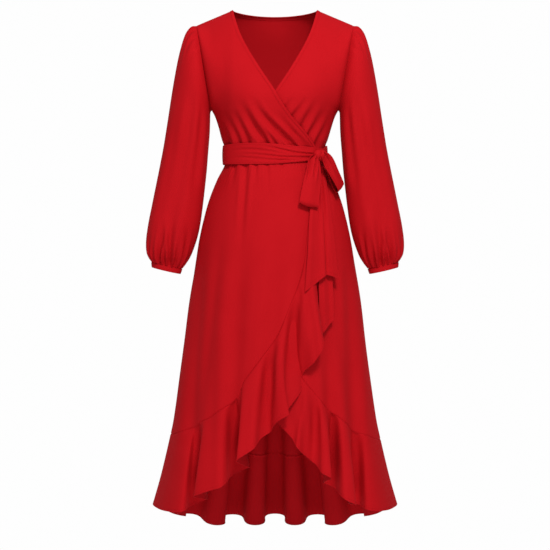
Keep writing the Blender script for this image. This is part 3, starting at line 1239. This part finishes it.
def stitch_tree():
    """A node tree that puts a stitch at every step along the edges of a mesh."""
    tree = bpy.data.node_groups.new("stitches along lines", "GeometryNodeTree")
    face = tree.interface
    face.new_socket("Geometry", in_out="INPUT", socket_type="NodeSocketGeometry")
    sizes = {}
    for name, value in STITCH.items():
        socket = face.new_socket(name, in_out="INPUT", socket_type="NodeSocketFloat")
        socket.default_value = value
        sizes[name] = socket.identifier
    face.new_socket("Geometry", in_out="OUTPUT", socket_type="NodeSocketGeometry")
    given = node(tree, "NodeGroupInput")
    curve = node(tree, "GeometryNodeMeshToCurve", {"Mesh": given.outputs["Geometry"]})
    even = node(tree, "GeometryNodeResampleCurve",
                {"Curve": curve.outputs[0], "Length": given.outputs["Pitch"]}, mode="LENGTH")
    tangent = node(tree, "GeometryNodeInputTangent")
    turn = node(tree, "FunctionNodeAlignRotationToVector", {"Vector": tangent.outputs[0]}, axis="X")
    grain = node(tree, "GeometryNodeMeshIcoSphere", radius=0.5, subdivisions=1)
    size = node(tree, "ShaderNodeCombineXYZ", {"X": given.outputs["Length"],
                "Y": given.outputs["Thickness"], "Z": given.outputs["Thickness"]})
    placed = node(tree, "GeometryNodeInstanceOnPoints", {"Points": even.outputs[0],
                  "Instance": grain.outputs[0], "Rotation": turn.outputs[0], "Scale": size.outputs[0]})
    real = node(tree, "GeometryNodeRealizeInstances", {"Geometry": placed.outputs[0]})
    finish = node(tree, "GeometryNodeSetMaterial", {"Geometry": real.outputs[0]}, material=THREAD)
    node(tree, "NodeGroupOutput", {"Geometry": finish.outputs[0]})
    return tree, sizes


print("a stitch in metres:", STITCH)


# %% Sew
def sew(name, lines):
    """Runs the tree on the lines and keeps what it makes as a plain mesh."""
    corners, edges = [], []
    for line in lines:
        edges += [(len(corners) + k, len(corners) + k + 1) for k in range(len(line) - 1)]
        corners += (np.asarray(line) * MM).tolist()
    mesh = bpy.data.meshes.new(name + " lines")
    mesh.from_pydata(corners, edges, [])
    guide = bpy.data.objects.new(name + " lines", mesh)
    bpy.context.collection.objects.link(guide)
    tree, keys = stitch_tree()
    sewing = guide.modifiers.new("sewing", "NODES")
    sewing.node_group = tree
    for size, value in STITCH.items():
        sewing[keys[size]] = value
    seen = guide.evaluated_get(bpy.context.evaluated_depsgraph_get())
    plain = bpy.data.meshes.new_from_object(seen)
    plain.name = name
    guide.modifiers.clear()
    bpy.data.objects.remove(guide)
    made = bpy.data.objects.new(name, plain)
    bpy.context.collection.objects.link(made)
    PIECES[name] = made
    print(f"{name}: {len(plain.polygons)} faces")


sew("stitches", LINES)

# %% [markdown]
# ## Finish and places
# Every piece gets its material, rides on the one body of the dress, and stands for the solid of the
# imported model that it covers. Each is declared as a sheet with the size that it was cut to, so that
# its area can be compared with the cloth.

# %% The size of each cut
CUTS = {
    # piece: (flat width, length) in metres, area in square metres, how it is held, what carries it
    "bodice_front_right": ((0.30, 0.46), 0.066, "hung", ["bodice_back"]),
    "bodice_front_left": ((0.30, 0.46), 0.064, "hung", ["bodice_back"]),
    "bodice_back": ((0.45, 0.36), 0.138, "hung", ["bodice_front_right"]),
    "wrap_band_right": ((0.010, 0.46), 0.0030, "laid", ["bodice_front_right"]),
    "wrap_band_left": ((0.010, 0.46), 0.0030, "laid", ["bodice_front_left"]),
    "neck_band_back": ((0.012, 0.24), 0.0026, "laid", ["bodice_back"]),
    "sleeve_right": ((0.46, 0.60), 0.178, "hung", ["bodice_front_right"]),
    "sleeve_left": ((0.46, 0.60), 0.178, "hung", ["bodice_front_left"]),
    "cuff_right": ((0.22, 0.018), 0.0039, "hung", ["sleeve_right"]),
    "cuff_left": ((0.22, 0.018), 0.0039, "hung", ["sleeve_left"]),
    "skirt_front_right": ((0.42, 0.70), 0.192, "hung", ["bodice_front_right"]),
    "skirt_front_left": ((0.42, 0.71), 0.187, "hung", ["bodice_front_left"]),
    "skirt_back": ((0.92, 0.78), 0.44, "hung", ["bodice_back"]),
    "flounce_front_right": ((1.32, 0.18), 0.137, "hung", ["skirt_front_right"]),
    "flounce_front_left": ((1.27, 0.18), 0.120, "hung", ["skirt_front_left"]),
    "flounce_back": ((1.35, 0.24), 0.217, "hung", ["skirt_back"]),
    "sash": ((0.70, 0.048), 0.0325, "hung", ["bodice_front_right"]),
    "bow_loop_right": ((0.053, 0.23), 0.0115, "hung", ["bow_knot"]),
    "bow_loop_left": ((0.048, 0.19), 0.0088, "hung", ["bow_knot"]),
    "tail_short": ((0.11, 0.32), 0.0215, "hung", ["bow_knot"]),
    "tail_long": ((0.05, 0.41), 0.0135, "hung", ["bow_knot"]),
    "bow_knot": ((0.05, 0.07), 0.0026, "folded", ["sash"]),
}
SOLIDS = {"sash": "sash_belt", "tail_short": "sash_tail_short", "tail_long": "sash_tail_long"}
print(f"cloth that shows: {sum(area for _, area, _, _ in CUTS.values()):.2f} square metres")

# %% Materials and declarations
for name, made in PIECES.items():
    if name != "stitches":
        made.data.materials.clear()
        made.data.materials.append(CREPE)
    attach(made, "root")
for name, (flat, area, held, rests) in CUTS.items():
    made = PIECES["cloth_" + name]
    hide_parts(SOLIDS.get(name, name))
    print(f"{name}: {AREAS['cloth_' + name]:.4f} of {area:.4f} square metres")

# %% [markdown]
# ## The studio
# The dress is shown against white, lit softly from all round, with most of the light from high up in
# front, a little to its left. Such a picture could be made with a large white backdrop. A world that
# is white for the camera and dimmer for the cloth does the same and throws no colour back. A small
# light reaches into the neck, and two wide ones fill the side and the hem. The dress hangs in the air
# over a round pale floor, and the camera stands 3.6 m in front of it at half its height, tipped down
# a little.

# %% Floor
HEM, FLOOR_GAP, FLOOR_RADIUS = -1.289, 0.22, 0.8


def studio_floor(sides=96):
    """A round pale floor, 22 cm below the hem."""
    height = HEM - FLOOR_GAP
    turns = np.linspace(0, 2 * np.pi, sides, endpoint=False)
    corners = [(FLOOR_RADIUS * math.cos(t), FLOOR_RADIUS * math.sin(t), height) for t in turns]
    mesh = bpy.data.meshes.new("studio floor")
    mesh.from_pydata(corners, [], [tuple(range(sides))])
    paint = bpy.data.materials.new("white studio paint")
    paint.use_nodes = True
    shader = paint.node_tree.nodes["Principled BSDF"]
    shader.inputs["Base Color"].default_value = linear("#F4F3F2")
    shader.inputs["Roughness"].default_value = 0.9
    mesh.materials.append(paint)
    made = bpy.data.objects.new("studio floor", mesh)
    bpy.context.collection.objects.link(made)


studio_floor()
print("floor", HEM - FLOOR_GAP, "m from the neck points")


# %% Lights
def aimed(place, target):
    """The turn that points a light or camera at a target."""
    return mathutils.Vector(np.subtract(target, place)).to_track_quat("-Z", "Y").to_euler()


def area_light(name, place, target, size, power):
    """A round light that the camera doesn't see."""
    light = bpy.data.lights.new(name, "AREA")
    light.shape, light.size, light.energy = "DISK", size, power
    made = bpy.data.objects.new(name, light)
    made.location = place
    made.rotation_euler = aimed(place, target)
    made.visible_camera = False
    bpy.context.collection.objects.link(made)


area_light("key", place=(0.5, -2.2, 1.5), target=(0, 0, -0.45), size=0.6, power=52)
area_light("neck", place=(0.1, -1.05, 0.36), target=(0, 0, -0.12), size=0.3, power=2.0)
area_light("fill", place=(-2.0, -2.8, 0.2), target=(0, 0, -0.7), size=1.8, power=5)
area_light("low fill", place=(0, -2.4, -1.7), target=(0, 0.15, -1.15), size=0.8, power=13)
print("four lights round the dress")

# %% White world
SOFT_LIGHT = 0.41
world = bpy.data.worlds.new("white room")
world.use_nodes = True
room = world.node_tree
room.nodes.clear()
soft = node(room, "ShaderNodeBackground", color=(1, 1, 1, 1), strength=SOFT_LIGHT)
white = node(room, "ShaderNodeBackground", color=(0.99, 0.99, 0.99, 1), strength=1.0)
seen = node(room, "ShaderNodeLightPath")
either = node(room, "ShaderNodeMixShader", {0: seen.outputs["Is Camera Ray"], 1: soft.outputs[0],
              2: white.outputs[0]})
node(room, "ShaderNodeOutputWorld", {"Surface": either.outputs[0]})
bpy.context.scene.world = world
bpy.context.scene.view_settings.view_transform = "Standard"

print("the world lights at", SOFT_LIGHT, "and shows as white")

# %% Camera
CAMERA_PLACE, CAMERA_TARGET = (0, -3.6, -0.48), (0, 0, -0.6312)
lens = bpy.data.cameras.new("camera")
lens.lens, lens.sensor_width = 98.2, 36
camera = bpy.data.objects.new("camera", lens)
camera.location = CAMERA_PLACE
camera.rotation_euler = aimed(CAMERA_PLACE, CAMERA_TARGET)
bpy.context.collection.objects.link(camera)
bpy.context.scene.camera = camera
print("camera at", CAMERA_PLACE)
